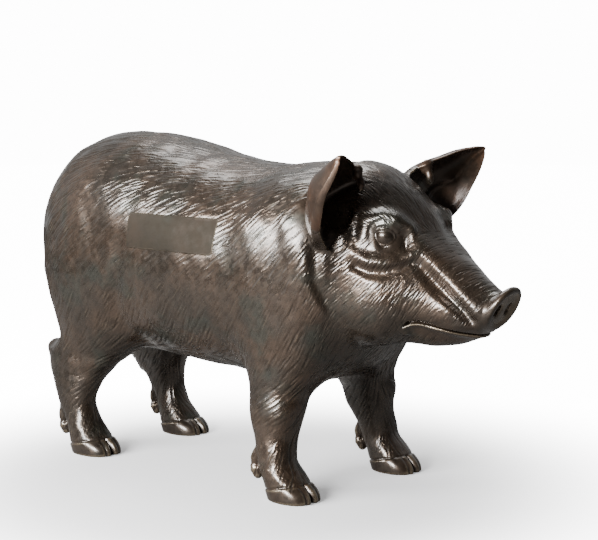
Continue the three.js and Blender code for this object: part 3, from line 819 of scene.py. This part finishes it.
def make_piece(name, surface, replaced, material, chosen=None, planes=(), alone=False):
    """One piece of a surface, cut by planes, with its shading, finish and body, hiding the frame
    parts it replaces.
    """
    mesh = to_mesh(name, surface, chosen)
    if planes:
        trimmed(mesh, planes, alone)
    lay = np.empty(len(mesh.vertices) * 3, np.float32)
    mesh.attributes["lay"].data.foreach_get("vector", lay)
    lay = lay.reshape(-1, 3)
    lay = lay / (np.linalg.norm(lay, axis=1, keepdims=True) + 1e-9)
    mesh.attributes.remove(mesh.attributes["lay"])
    mesh.polygons.foreach_set("use_smooth", np.ones(len(mesh.polygons), bool))
    mesh.normals_split_custom_set_from_vertices(lay.tolist())
    mesh.materials.append(material)
    piece = in_scene(name, mesh)
    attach(piece, "root")
    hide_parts(*replaced)


def plane(axis, place, away):
    """A cutting plane square to an axis; what lies away from it is thrown off."""
    normal = Vector((0, 0, 0))
    normal[axis] = away
    spot = Vector((0, 0, 0))
    spot[axis] = (place + (CENTRE_X if axis == 0 else 0)) * MM
    return spot, normal


def ear_plane(side, away):
    spot = EAR_ROOT + EAR_CUT * EAR_ALONG
    place = Vector(((spot[0] + CENTRE_X) * MM, side * spot[1] * MM, spot[2] * MM))
    normal = Vector((EAR_ALONG[0], side * EAR_ALONG[1], EAR_ALONG[2])) * away
    return place, normal


# ---------------------------------------------------------------- finishes

def new_group(name, inputs, outputs):
    """An effect as a node group, from its inputs with their values, and its outputs."""
    group = bpy.data.node_groups.new(name, "ShaderNodeTree")
    for label, value in inputs.items():
        kind = "NodeSocketColor" if isinstance(value, tuple) else "NodeSocketFloat"
        socket = group.interface.new_socket(label, in_out="INPUT", socket_type=kind)
        socket.default_value = value
    for label in outputs:
        kind = "NodeSocketColor" if label == "Color" else "NodeSocketFloat"
        group.interface.new_socket(label, in_out="OUTPUT", socket_type=kind)
    return group, group.nodes.new("NodeGroupInput"), group.nodes.new("NodeGroupOutput")


class Wiring:
    """Short calls for making nodes in one tree."""

    def __init__(self, tree):
        self.tree = tree

    def add(self, kind, **settings):
        node = self.tree.nodes.new(kind)
        for key, value in settings.items():
            setattr(node, key, value)
        return node

    def link(self, source, target):
        self.tree.links.new(source, target)

    def place(self, kind="Object"):
        return self.add("ShaderNodeTexCoord").outputs[kind]

    def put(self, target, value):
        if isinstance(value, bpy.types.NodeSocket):
            self.link(value, target)
        else:
            target.default_value = value

    def maths(self, operation, a, b=0.0, clamp=False):
        node = self.add("ShaderNodeMath", operation=operation, use_clamp=clamp)
        self.put(node.inputs[0], a)
        self.put(node.inputs[1], b)
        return node.outputs[0]

    def times(self, a, b):
        return self.maths("MULTIPLY", a, b)

    def noise(self, vector, scale, detail=3.0, roughness=0.55):
        node = self.add("ShaderNodeTexNoise")
        self.link(vector, node.inputs["Vector"])
        self.put(node.inputs["Scale"], scale)
        node.inputs["Detail"].default_value = detail
        node.inputs["Roughness"].default_value = roughness
        return node.outputs["Fac"]

    def bump(self, height, strength, distance, normal=None):
        node = self.add("ShaderNodeBump")
        node.inputs["Strength"].default_value = strength
        node.inputs["Distance"].default_value = distance
        self.link(height, node.inputs["Height"])
        if normal is not None:
            self.link(normal, node.inputs["Normal"])
        return node.outputs["Normal"]

    def spread(self, value, low, high, to_low=0.0, to_high=1.0):
        node = self.add("ShaderNodeMapRange", interpolation_type="SMOOTHSTEP")
        self.put(node.inputs["Value"], value)
        for label, number in (("From Min", low), ("From Max", high), ("To Min", to_low),
                              ("To Max", to_high)):
            self.put(node.inputs[label], number)
        return node.outputs["Result"]

    def mix(self, share, a, b, blend="MIX"):
        node = self.add("ShaderNodeMix", data_type="RGBA", blend_type=blend)
        self.put(node.inputs[0], share)
        self.put(node.inputs[6], a)
        self.put(node.inputs[7], b)
        return node.outputs[2]


def rgb(r, g, b):
    return (r, g, b, 1.0)


def make_patina_tone():
    """Brown, umber and faint green drifts of a bronze patina."""
    group, given, out = new_group(
        "patina tone",
        {"Brown": rgb(0.06, 0.04, 0.026), "Umber": rgb(0.03, 0.02, 0.015),
         "Cool": rgb(0.04, 0.045, 0.036), "Drift Size": 9.0}, ["Color", "Mottle"])
    w = Wiring(group)
    place = w.place()
    size = given.outputs["Drift Size"]

    def drift(times, detail):
        return w.noise(place, w.times(size, times), detail, 0.6)

    broad = w.spread(drift(1.0, 3.0), 0.36, 0.64)
    fine = drift(9.0, 4.0)
    green = w.spread(drift(1.7, 4.0), 0.50, 0.70, 0.0, 0.6)
    tone = w.mix(broad, given.outputs["Umber"], given.outputs["Brown"])
    tone = w.mix(green, tone, given.outputs["Cool"])
    shade = w.spread(fine, 0.3, 0.7, 0.86, 1.14)
    grey = w.add("ShaderNodeCombineColor")
    for channel in grey.inputs:
        w.link(shade, channel)
    w.link(w.mix(1.0, tone, grey.outputs[0], "MULTIPLY"), out.inputs["Color"])
    w.link(fine, out.inputs["Mottle"])
    return group


def make_wear():
    """Where hands and cloths have rubbed the casting, and where wax and dirt stay; the snout disc's
    painted shade mark counts as rubbed.
    """
    group, given, out = new_group(
        "rub and recess",
        {"Cut": 0.0, "Crease": 0.0, "Rub Start": 0.35, "Recess Start": -0.3}, ["Rub", "Recess"])
    w = Wiring(group)
    place = w.place()
    patchy = w.spread(w.noise(place, 26.0), 0.35, 0.62)
    start = given.outputs["Rub Start"]
    # standing out also takes in the painted shade mark on the snout disc's face
    stands = w.spread(given.outputs["Crease"], start, w.maths("ADD", start, 0.6))
    burr = w.spread(given.outputs["Cut"], 0.08, 0.3)
    rub_and_disc_shade = w.maths("MAXIMUM", stands, w.times(burr, 0.7))
    w.link(w.times(rub_and_disc_shade, w.spread(patchy, 0.0, 1.0, 0.45, 1.0)), out.inputs["Rub"])
    low = given.outputs["Recess Start"]
    lies = w.spread(given.outputs["Crease"], low, w.maths("SUBTRACT", low, 0.8))
    groove = w.spread(given.outputs["Cut"], -0.12, -0.75)
    w.link(w.maths("MAXIMUM", lies, w.times(groove, 0.75)), out.inputs["Recess"])
    return group


def make_grain():
    """Casting skin: fine sand grain and scattered pinholes."""
    group, given, out = new_group("casting grain", {"Grain": 0.4, "Pinholes": 0.15},
                                  ["Height", "Pits"])
    w = Wiring(group)
    place = w.place()
    grain = w.noise(place, 620.0, 3.0, 0.6)
    lumps = w.noise(place, 170.0, 3.0, 0.6)
    cells = w.add("ShaderNodeTexVoronoi")
    w.link(place, cells.inputs["Vector"])
    cells.inputs["Scale"].default_value = 95.0
    hole = w.spread(cells.outputs["Distance"], 0.16, 0.08)
    where = w.spread(w.noise(place, 17.0), 0.54, 0.66)
    pits = w.times(hole, where)
    height = w.maths("ADD", w.times(grain, 0.5), w.times(lumps, 1.0))
    height = w.times(height, given.outputs["Grain"])
    sunk = w.times(pits, given.outputs["Pinholes"])
    w.link(w.maths("SUBTRACT", height, sunk), out.inputs["Height"])
    w.link(pits, out.inputs["Pits"])
    return group


def make_hair_lines():
    """Fine lines chased along the hair, in four slopes that are shared out over the form."""
    inputs = {**dict.fromkeys(LINE_SLOPES, 0.0), "Smooth": 0.0, "Spacing": 210.0}
    group, given, out = new_group("hair lines", inputs, ["Height"])
    w = Wiring(group)
    place = w.place()
    across = given.outputs["Spacing"]
    total = 0.0
    for name, slope in LINE_SLOPES.items():
        turn = w.add("ShaderNodeVectorRotate", rotation_type="AXIS_ANGLE")
        w.link(place, turn.inputs["Vector"])
        turn.inputs["Axis"].default_value = (0, 1, 0)
        turn.inputs["Angle"].default_value = np.radians(slope)
        stretch = w.add("ShaderNodeVectorMath", operation="MULTIPLY")
        w.link(turn.outputs[0], stretch.inputs[0])
        stretch.inputs[1].default_value = (0.10, 1.0, 1.0)
        lines = w.spread(w.noise(stretch.outputs[0], across, 1.0, 0.5), 0.36, 0.60)
        total = w.maths("ADD", total, w.times(lines, given.outputs[name]))
    bare = w.maths("SUBTRACT", 1.0, given.outputs["Smooth"])
    w.link(w.times(total, bare), out.inputs["Height"])
    return group


PATINA_TONE = make_patina_tone()
WEAR = make_wear()
GRAIN = make_grain()
HAIR_LINES = make_hair_lines()


def use(w, group, **values):
    node = w.add("ShaderNodeGroup", node_tree=group)
    for key, value in values.items():
        w.put(node.inputs[key.replace("_", " ")], value)
    return node


def new_material(name):
    material = bpy.data.materials.new(name)
    material.use_nodes = True
    tree = material.node_tree
    return material, Wiring(tree), tree.nodes["Principled BSDF"]


def in_scene(name, data):
    thing = bpy.data.objects.new(name, data)
    bpy.context.scene.collection.objects.link(thing)
    return thing


def attribute(w, name):
    return w.add("ShaderNodeAttribute", attribute_name=name).outputs["Fac"]


def bronze(name, brown, umber, cool, rubbed, recess, rough, coat, bump, dull=0.05, glint=0.5):
    """A patinated bronze finish."""
    material, w, shader = new_material(name)
    tone = use(w, PATINA_TONE, Brown=brown, Umber=umber, Cool=cool)
    wear = use(w, WEAR, Cut=attribute(w, "cut"), Crease=attribute(w, "crease_and_disc_shade"))
    grain = use(w, GRAIN)
    recessed = wear.outputs["Recess"]
    rub_and_disc_shade = wear.outputs["Rub"]
    smooth = attribute(w, "smooth")
    # the rubbed colour also goes onto the snout disc's face, from its painted shade mark
    colour = w.mix(w.times(rub_and_disc_shade, 0.8), tone.outputs["Color"], rubbed)
    colour = w.mix(w.times(recessed, 0.85), colour, recess)
    colour = w.mix(w.times(grain.outputs["Pits"], 0.08), colour, recess)
    w.link(colour, shader.inputs["Base Color"])
    shine = w.spread(tone.outputs["Mottle"], 0.3, 0.7, rough - 0.06, rough + 0.10)
    shine = w.maths("ADD", shine, w.times(recessed, 0.22))
    shine = w.maths("SUBTRACT", shine, w.times(rub_and_disc_shade, 0.07))
    shine = w.maths("ADD", shine, w.times(smooth, dull), clamp=True)
    w.link(shine, shader.inputs["Roughness"])
    w.link(w.spread(recessed, 0.0, 1.0, 0.72, 0.25), shader.inputs["Metallic"])
    hair = use(w, HAIR_LINES, Smooth=smooth)
    for line_name in LINE_SLOPES:
        w.link(attribute(w, line_name), hair.inputs[line_name])
    lines = w.bump(hair.outputs["Height"], 0.55, 0.0008)
    w.link(w.bump(grain.outputs["Height"], bump, 0.0006, lines), shader.inputs["Normal"])
    w.link(w.spread(recessed, 0.0, 0.8, coat, 0.0), shader.inputs["Coat Weight"])
    shader.inputs["Coat Roughness"].default_value = 0.22
    shader.inputs["IOR"].default_value = 1.5
    shader.inputs["Specular IOR Level"].default_value = glint
    return material


BODY_PATINA = bronze(
    "body patina", rough=0.27, coat=0.80, bump=0.35, brown=rgb(0.062, 0.040, 0.026),
    umber=rgb(0.037, 0.027, 0.019), cool=rgb(0.032, 0.037, 0.029), rubbed=rgb(0.21, 0.165, 0.11),
    recess=rgb(0.006, 0.0045, 0.003))
EAR_PATINA = bronze(
    "ear patina", rough=0.38, coat=0.35, bump=0.4, brown=rgb(0.080, 0.040, 0.022),
    umber=rgb(0.040, 0.024, 0.015), cool=rgb(0.034, 0.028, 0.020), rubbed=rgb(0.20, 0.13, 0.085),
    recess=rgb(0.006, 0.0045, 0.003))
WINDOW_PATINA = bronze(
    "window patina", rough=0.55, coat=0.0, bump=0.6, dull=0.04, glint=0.35,
    brown=rgb(0.027, 0.020, 0.014), umber=rgb(0.020, 0.016, 0.011), cool=rgb(0.019, 0.020, 0.015),
    rubbed=rgb(0.05, 0.04, 0.028), recess=rgb(0.008, 0.006, 0.004))


def machined(name, colour, dark, rough):
    """Plain metal of the fittings, with a fine grain and a little tarnish."""
    material, w, shader = new_material(name)
    tone = use(w, PATINA_TONE, Brown=colour, Umber=dark, Cool=colour, Drift_Size=22.0)
    grain = use(w, GRAIN, Grain=0.25, Pinholes=0.1)
    w.link(tone.outputs["Color"], shader.inputs["Base Color"])
    w.link(w.spread(tone.outputs["Mottle"], 0.3, 0.7, rough - 0.08, rough + 0.1),
           shader.inputs["Roughness"])
    shader.inputs["Metallic"].default_value = 0.95
    w.link(w.bump(grain.outputs["Height"], 0.35, 0.0004), shader.inputs["Normal"])
    return material


RAW_BRONZE = machined("raw bronze", rgb(0.34, 0.22, 0.10), rgb(0.19, 0.12, 0.06), 0.42)
STAINLESS = machined("stainless bush", rgb(0.42, 0.41, 0.40), rgb(0.27, 0.27, 0.27), 0.34)

# ---------------------------------------------------------------- making the pieces

BODY_STEP, HEAD_STEP, SMALL_STEP = 1.75, 1.2, 1.6
ROOM = 8            # left round a piece before it is cut, so that the cut closes cleanly
HALF_WIDTH, TOP = 206, 604
SIDES = (("left", 1), ("right", -1))


def make_body():
    points, quads = skin(body, (-474, 0, -6), (NECK + 12, HALF_WIDTH, TOP), BODY_STEP)
    surface = dress(points, quads, spacing=6.6, length=40.0, width=1.45, depth=1.0, seed=11)
    x, y, z = surface["points"][quads].mean(1).T
    above = z > LEG_TOP - ROOM
    make_piece("hindquarters", surface,
               ["hindquarters_shell", "flank_core_plug_left", "flank_core_plug_right",
                "ham_core_plug_left", "ham_core_plug_right"], BODY_PATINA,
               above & (x < WAIST + ROOM), [plane(0, WAIST, 1), plane(2, LEG_TOP, -1)])
    make_piece("forequarters", surface,
               ["forequarters_shell", "shoulder_core_plug_left", "shoulder_core_plug_right"],
               BODY_PATINA, above & (x > WAIST - ROOM),
               [plane(0, WAIST, -1), plane(0, NECK, 1), plane(2, LEG_TOP, -1)])
    for end, front in (("front", True), ("rear", False)):
        for side, sign in SIDES:
            name = f"{end}_{side}_leg"
            chosen = (z < LEG_TOP + ROOM) & ((x > 0) == front) & (y * sign > 0)
            make_piece(name + "_cast", surface, [name], BODY_PATINA, chosen,
                       [plane(2, LEG_TOP, 1)])


def make_head():
    points, quads = skin(whole, (NECK - 12, 0, 176), (610, HALF_WIDTH, TOP), HEAD_STEP)
    surface = dress(points, quads, spacing=5.0, length=22.0, width=1.0, depth=0.65, seed=23)
    middle = surface["points"][quads].mean(1)
    beyond = (folded(middle) - EAR_ROOT) @ EAR_ALONG
    make_piece("head", surface, ["head_shell"], BODY_PATINA, beyond < EAR_CUT + 6,
               [plane(0, NECK, -1), ear_plane(1, 1), ear_plane(-1, 1)])
    for side, sign in SIDES:
        chosen = (beyond > EAR_CUT - 6) & (middle[:, 1] * sign > 60)
        make_piece(side + "_ear_leaf", surface, [side + "_ear"], EAR_PATINA, chosen,
                   [ear_plane(sign, -1)], alone=True)


PLATE_DEPTH, PLATE_THICKNESS, PLATE_CORNER = 2.9, 6.2, 8.0


def window_form(p):
    """The plate let into the flank: a thin layer of the body's own surface."""
    x, y, z = p.T
    layer = np.abs(body(folded(p)) + PLATE_DEPTH) - PLATE_THICKNESS / 2
    half = (WINDOW_HIGH - WINDOW_LOW) / 2
    centre = (WINDOW_HIGH + WINDOW_LOW) / 2
    u = np.abs(x - centre.x + CENTRE_X) - half.x + PLATE_CORNER
    v = np.abs(z - centre.z) - half.z + PLATE_CORNER
    outline = np.hypot(np.maximum(u, 0), np.maximum(v, 0)) + np.minimum(np.maximum(u, v), 0)
    return common(common(layer, outline - PLATE_CORNER, 1.2), y, 1)


def make_window():
    centre = Vector((CENTRE_X, 0, 0))
    room = Vector((ROOM, ROOM, ROOM))
    points, quads = skin(window_form, WINDOW_LOW - centre - room, WINDOW_HIGH - centre + room,
                         SMALL_STEP, mirrored=False)
    surface = dress(points, quads, spacing=8.0, length=20.0, width=1.6, depth=0.3, seed=5)
    make_piece("flank_window", surface, ["flank_window_plate"], WINDOW_PATINA)


TAIL_RADII = [9, 8.6, 7.4, 6, 5, 4.2]
TAIL_LEVEL, TAIL_DROP, TAIL_TURNS = 449, 50, 1.1
TAIL_SUNK, TAIL_STANDOFF = 26, 37
CURL_ACROSS, CURL_UP = 22, 17


def tail_form(p):
    """A thin tail that stands off the rump and hangs in one curl."""
    share = np.linspace(0, 1, 26)
    angle = share * TAIL_TURNS * 2 * np.pi
    x = RUMP_END + TAIL_SUNK - TAIL_STANDOFF * (1 - (1 - share)**4)
    y = CURL_ACROSS * np.sin(angle)
    z = TAIL_LEVEL - TAIL_DROP * share - CURL_UP * (1 - np.cos(angle))
    return rod(p, np.stack([x, y, z], 1), TAIL_RADII)


def make_tail():
    points, quads = skin(tail_form, (RUMP_END - 24, -36, 360), (RUMP_END + 40, 36, 466),
                         SMALL_STEP, mirrored=False)
    surface = dress(points, quads, spacing=6.0, length=14.0, width=1.1, depth=0.5, seed=3)
    make_piece("tail_curl", surface, ["tail"], BODY_PATINA)


make_body()
make_head()
make_window()
make_tail()

for node_name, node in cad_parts.items():
    if node.hide_render:
        continue
    finish = STAINLESS if node_name.endswith("bush") else RAW_BRONZE
    node.data.materials.clear()
    node.data.materials.append(finish)

# ---------------------------------------------------------------- floor, light and camera

# The floor's glow is painted light that only the camera sees: weak in a pool round the animal and
# rising to white further off, so the floor shows painted shade towards the animal.
WHITE_GLOW = 14.0         # how brightly the camera sees the far floor and the background
FLOOR_GLOW = 0.32         # the same, close under the animal
POOL_CENTRE = (0.05, -0.10, 0.0)
POOL_START, POOL_END = 0.25, 0.95
# the bronze sees a darker floor than the camera does, as under a black flag
FLOOR_DARK, FLOOR_PALE = rgb(0.16, 0.155, 0.15), rgb(0.80, 0.80, 0.81)
BACKDROP_WAY = (-0.66, 0.75, 0.05)
BACKDROP_DIM, BACKDROP_BRIGHT = 0.07, 0.5

floor_material, w, floor_shader = new_material("studio floor")
away = w.add("ShaderNodeVectorMath", operation="DISTANCE")
w.link(w.place(), away.inputs[0])
away.inputs[1].default_value = POOL_CENTRE
far = w.spread(away.outputs["Value"], POOL_START, POOL_END)
seen = w.add("ShaderNodeLightPath").outputs["Is Camera Ray"]
w.link(w.mix(seen, FLOOR_DARK, FLOOR_PALE), floor_shader.inputs["Base Color"])
# painted light: the glow grows with distance from the pool's centre
glow = w.times(w.maths("POWER", far, 1.6), WHITE_GLOW)
glow = w.maths("ADD", glow, FLOOR_GLOW)
w.link(w.times(glow, seen), floor_shader.inputs["Emission Strength"])
floor_shader.inputs["Emission Color"].default_value = rgb(1, 1, 1)
floor_shader.inputs["Roughness"].default_value = 0.9
bpy.ops.mesh.primitive_circle_add(vertices=128, radius=9.0, fill_type="NGON")
floor = bpy.context.object
floor.name = "studio_floor"
floor.data.materials.append(floor_material)

world = bpy.data.worlds.new("studio")
bpy.context.scene.world = world
world.use_nodes = True
w = Wiring(world.node_tree)
surround = world.node_tree.nodes["Background"]
seen = w.add("ShaderNodeLightPath").outputs["Is Camera Ray"]
surround.inputs["Color"].default_value = rgb(1, 1, 1)
facing = w.add("ShaderNodeVectorMath", operation="DOT_PRODUCT")
w.link(w.place("Generated"), facing.inputs[0])
facing.inputs[1].default_value = BACKDROP_WAY
backdrop = w.spread(facing.outputs["Value"], -0.5, 0.9, BACKDROP_DIM, BACKDROP_BRIGHT)
w.link(w.maths("MAXIMUM", backdrop, w.times(seen, WHITE_GLOW)),
       surround.inputs["Strength"])


def soft_light(name, place, target, width, height, power):
    data = bpy.data.lights.new(name, "AREA")
    data.shape = "RECTANGLE"
    data.size, data.size_y = width, height
    data.energy = power
    lamp = in_scene(name, data)
    lamp.location = place
    lamp.rotation_euler = (Vector(target) - Vector(place)).to_track_quat("-Z", "Y").to_euler()


soft_light("overhead softbox", (-0.6, 0.45, 2.1), (0, 0, 0.3), 1.2, 0.9, 25)
soft_light("left softbox", (-0.95, -2.4, 1.35), (0, 0, 0.35), 2.0, 0.55, 190)
soft_light("snout softbox", (0.35, -2.3, 1.15), (0.45, 0, 0.35), 0.9, 0.5, 120)

# The camera stands ahead of the shoulder on the animal's right.
AZIMUTH, PITCH = np.radians(40.9), np.radians(7.03)
CAMERA_AT = Vector((2.0537 + CENTRE_X * MM, -2.2046, 0.72))
SENSOR_WIDTH = 36
VIEW_REACH = 1704 / 598   # focal length over the picture's width
backwards = Vector((np.sin(AZIMUTH) * np.cos(PITCH), -np.cos(AZIMUTH) * np.cos(PITCH),
                    np.sin(PITCH)))
camera_data = bpy.data.cameras.new("camera")
camera_data.sensor_width = SENSOR_WIDTH
camera_data.lens = VIEW_REACH * SENSOR_WIDTH
camera = in_scene("camera", camera_data)
camera.location = CAMERA_AT
camera.rotation_euler = backwards.to_track_quat("Z", "Y").to_euler()
bpy.context.scene.camera = camera

bpy.context.view_layer.update()
